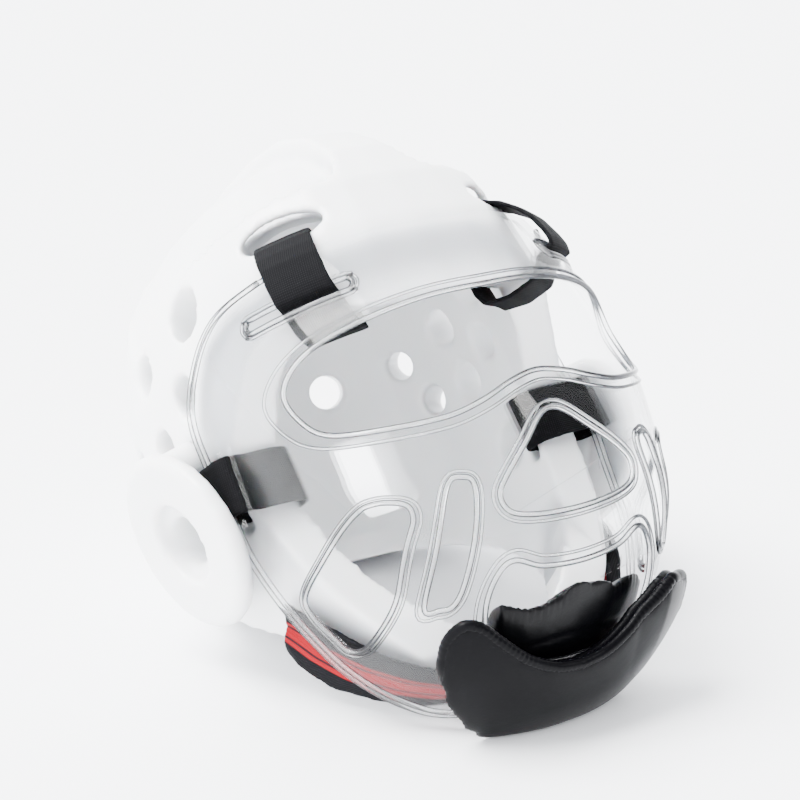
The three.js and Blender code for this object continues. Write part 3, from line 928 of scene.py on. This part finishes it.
def shield_hull(name, grow):
    """A closed solid of the shield's form, moved outward by a distance."""
    level, width, front = grown_rows(grow)
    turn = np.linspace(0, 2 * math.pi, 96, endpoint=False)
    across = np.copysign(np.abs(np.cos(turn)) ** (2 / SHIELD_SQUARENESS), np.cos(turn))
    along = np.copysign(np.abs(np.sin(turn)) ** (2 / SHIELD_SQUARENESS), np.sin(turn))
    verts = []
    for z, w, f in zip(level, width, front):
        y = np.where(along < 0, along * f, along * SHIELD_TAIL)
        verts += list(zip(across * w, y, np.full(len(turn), z)))
    rings, n = len(level), len(turn)
    return new_mesh(name, row_points(verts), ring_faces(rings, n) + caps(rings, n))


def over_table():
    """A box, two metres square and one high, that stands on the floor."""
    square = ((-1, -1), (1, -1), (1, 1), (-1, 1))
    verts = [(x, y, z) for z in (0, 1) for x, y in square]
    return new_mesh("over_table", verts, caps(2, 4) + ring_faces(2, 4))


def drop_left_end(obj):
    """Lowers the left end, eased in from the middle and from the bottom up."""
    p = head_points(coords(obj))
    out = np.clip((p[:, 0] - DROP_ACROSS["from"]) / DROP_ACROSS["over"], 0, 1)
    up = np.clip((p[:, 2] - DROP_UP["from"]) / DROP_UP["over"], 0, 1)
    p[:, 2] -= GUARD_DROP * out * up
    set_coords(obj, row_points(p))


def build_guard():
    guard = shield_hull("chin_cup", GUARD_THICK)
    cut(guard, shield_hull("inner", GUARD_GAP))
    front = spline(mirrored(GUARD_FRONT), 5, closed=True) + (GUARD_SHIFT, 0)
    cut(guard, from_the_front("front", front), "INTERSECT")
    cut(guard, from_the_side("side", spline(GUARD_SIDE, 3, closed=True)), "INTERSECT")
    cut(guard, over_table(), "INTERSECT")
    even_mesh(guard, GUARD_VOXEL, GUARD_ROUNDS)
    drop_left_end(guard)
    piece(guard, GUARD, "guard_black", "chin_guard")


def lip_half(out, lift, sign):
    """From the middle along the guard's upper edge and down one end, on the form grown by out."""
    level, width, front = grown_rows(out)
    line = []
    for x, z in spline(GUARD_LIP, 12):
        x, z = sign * x + GUARD_SHIFT, z + lift
        w, f = np.interp(z, level, width), np.interp(z, level, front)
        line.append((x, -f * other_share(abs(x) / w), z))
    corner = line[-1][1] + 1
    for y, z in spline(GUARD_END[:LIP_END_POINTS], 8):
        y, z = y + lift, z + lift
        if y > corner:
            w, f = np.interp(z, level, width), np.interp(z, level, front)
            line.append((sign * w * other_share(-y / f), y, z))
    return np.array(line)


def build_lip():
    ridges = []
    for out, lift in LIP_RIDGES:
        path = np.vstack([lip_half(out, lift, 1)[::-1], lip_half(out, lift, -1)[1:]])
        steps = np.linalg.norm(np.diff(path, axis=0), axis=1)
        run = np.concatenate([[0], np.cumsum(steps)])
        ends = np.clip(np.minimum(run, run[-1] - run) / LIP_TAPER, LIP_TIP_SHARE, 1)
        gathers = GATHER_SHARE * ends * np.sin(run * 2 * math.pi / GATHER_MM)
        ridges.append((path, LIP_RADIUS * ends * (1 + gathers), False))
    lip = tubes("chin_cup_lip", ridges, sides=14)
    drop_left_end(lip)
    piece(lip, GUARD, "guard_black")


# Chin pad


def front_at(p):
    """How far forward the shield is over each point."""
    return np.array([on_front(x, z)[1] for x, _, z in p])


def build_pad():
    pad = soft_copy("chin_pad", "chin_cushion", voxel_mm=1.5, rounds=10)
    p = head_points(coords(pad))
    own, dressed = spline(PAD_TOP, 8), spline(PAD_EDGE, 6)
    own_edge = np.interp(np.abs(p[:, 0]), own[:, 0], own[:, 1])
    down = own_edge - p[:, 2]
    depth = p[:, 1] - front_at(p)
    p[:, 0] *= np.where(p[:, 0] < 0, PAD_RIGHT_SHARE, 1)
    lift = np.interp(p[:, 0], dressed[:, 0], dressed[:, 1]) - own_edge
    p[:, 2] += lift * np.clip(1 - down / PAD_EDGE_REACH, 0, 1)
    p[:, 1] = depth + front_at(p)
    set_coords(pad, row_points(p))
    near = np.exp(-(((p[:, 0] - PLEAT_AT) / PLEAT_SPREAD) ** 2))
    fade = np.clip(1 - down / PLEAT_REACH, 0, 1)
    fade *= PLEAT_ELSEWHERE + (1 - PLEAT_ELSEWHERE) * near
    waves = np.sin(2 * math.pi * p[:, 0] / PLEAT_MM + PLEAT_LEAN * down)
    seam = SEAM_DEPTH * np.exp(-(((down - SEAM_AT) / SEAM_HALF_WIDTH) ** 2))
    normals = np.empty(len(p) * 3)
    pad.data.vertices.foreach_get("normal", normals)
    relief = (PLEAT_DEPTH * fade * waves - seam) * MM
    set_coords(pad, coords(pad) + normals.reshape(-1, 3) * relief[:, None])
    piece(pad, PAD, "pad_black", "chin_pad")


# Stage


def build_floor():
    corners = [(-1, -1), (1, -1), (1, 1), (-1, 1)]
    floor = new_mesh(
        "floor", [(x * FLOOR_HALF, y * FLOOR_HALF, 0) for x, y in corners], [(0, 1, 2, 3)]
    )
    settings = {"Base Color": (0.9, 0.905, 0.92, 1), "Roughness": 0.6}
    floor.data.materials.append(tree_of("pale_floor", settings)[0])


def build_sky():
    """Bright overhead and behind, dimmer where the shield would mirror it to the camera."""
    world = bpy.data.worlds.new("soft_white")
    world.use_nodes = True
    nodes, links = world.node_tree.nodes, world.node_tree.links
    sky = nodes["Background"]
    sky.inputs["Color"].default_value = (0.95, 0.97, 1, 1)
    where = nodes.new("ShaderNodeTexCoord")
    facing = nodes.new("ShaderNodeVectorMath")
    facing.operation = "DOT_PRODUCT"
    facing.inputs[1].default_value = DIM_TOWARDS
    strength = nodes.new("ShaderNodeMapRange")
    strength.interpolation_type = "SMOOTHSTEP"
    strength.inputs["From Min"].default_value = DIM_FROM
    strength.inputs["From Max"].default_value = DIM_TO
    strength.inputs["To Min"].default_value = SKY_BRIGHT
    strength.inputs["To Max"].default_value = SKY_DIM
    links.new(where.outputs["Generated"], facing.inputs[0])
    links.new(facing.outputs["Value"], strength.inputs["Value"])
    links.new(strength.outputs["Result"], sky.inputs["Strength"])
    bpy.context.scene.world = world


def build_lights():
    sun = bpy.data.lights.new("key", "SUN")
    sun.energy = KEY_STRENGTH
    sun.angle = math.radians(KEY_SPREAD_DEG)
    key = bpy.data.objects.new("key", sun)
    key.rotation_euler = Vector(KEY_FROM).to_track_quat("Z", "Y").to_euler()
    bpy.context.scene.collection.objects.link(key)
    area = bpy.data.lights.new("front", "AREA")
    area.shape = "RECTANGLE"
    area.size, area.size_y = FRONT_LIGHT_SIZE
    area.energy = FRONT_LIGHT_POWER
    front = bpy.data.objects.new("front", area)
    front.location = FRONT_LIGHT_AT
    ray = Vector(FRONT_LIGHT_TO) - Vector(FRONT_LIGHT_AT)
    front.rotation_euler = ray.to_track_quat("-Z", "Y").to_euler()
    bpy.context.scene.collection.objects.link(front)


def build_camera():
    lens = bpy.data.cameras.new("photo_camera")
    lens.lens = CAMERA_LENS
    lens.sensor_width = CAMERA_SENSOR
    camera = bpy.data.objects.new("photo_camera", lens)
    right, up = Vector(CAMERA_RIGHT).normalized(), Vector(CAMERA_UP).normalized()
    back = right.cross(up).normalized()
    turn = Matrix((right, up, back)).transposed().to_4x4()
    camera.matrix_world = Matrix.Translation(CAMERA_AT) @ turn
    bpy.context.scene.collection.objects.link(camera)
    bpy.context.scene.camera = camera


build_foam()
build_sheet()
build_rims()
for side, sign in (("left", 1), ("right", -1)):
    build_brow_strap(side, sign)
    build_cheek_strap(side)
build_chin_strap()
build_guard()
build_lip()
build_pad()
build_floor()
build_sky()
build_lights()
build_camera()
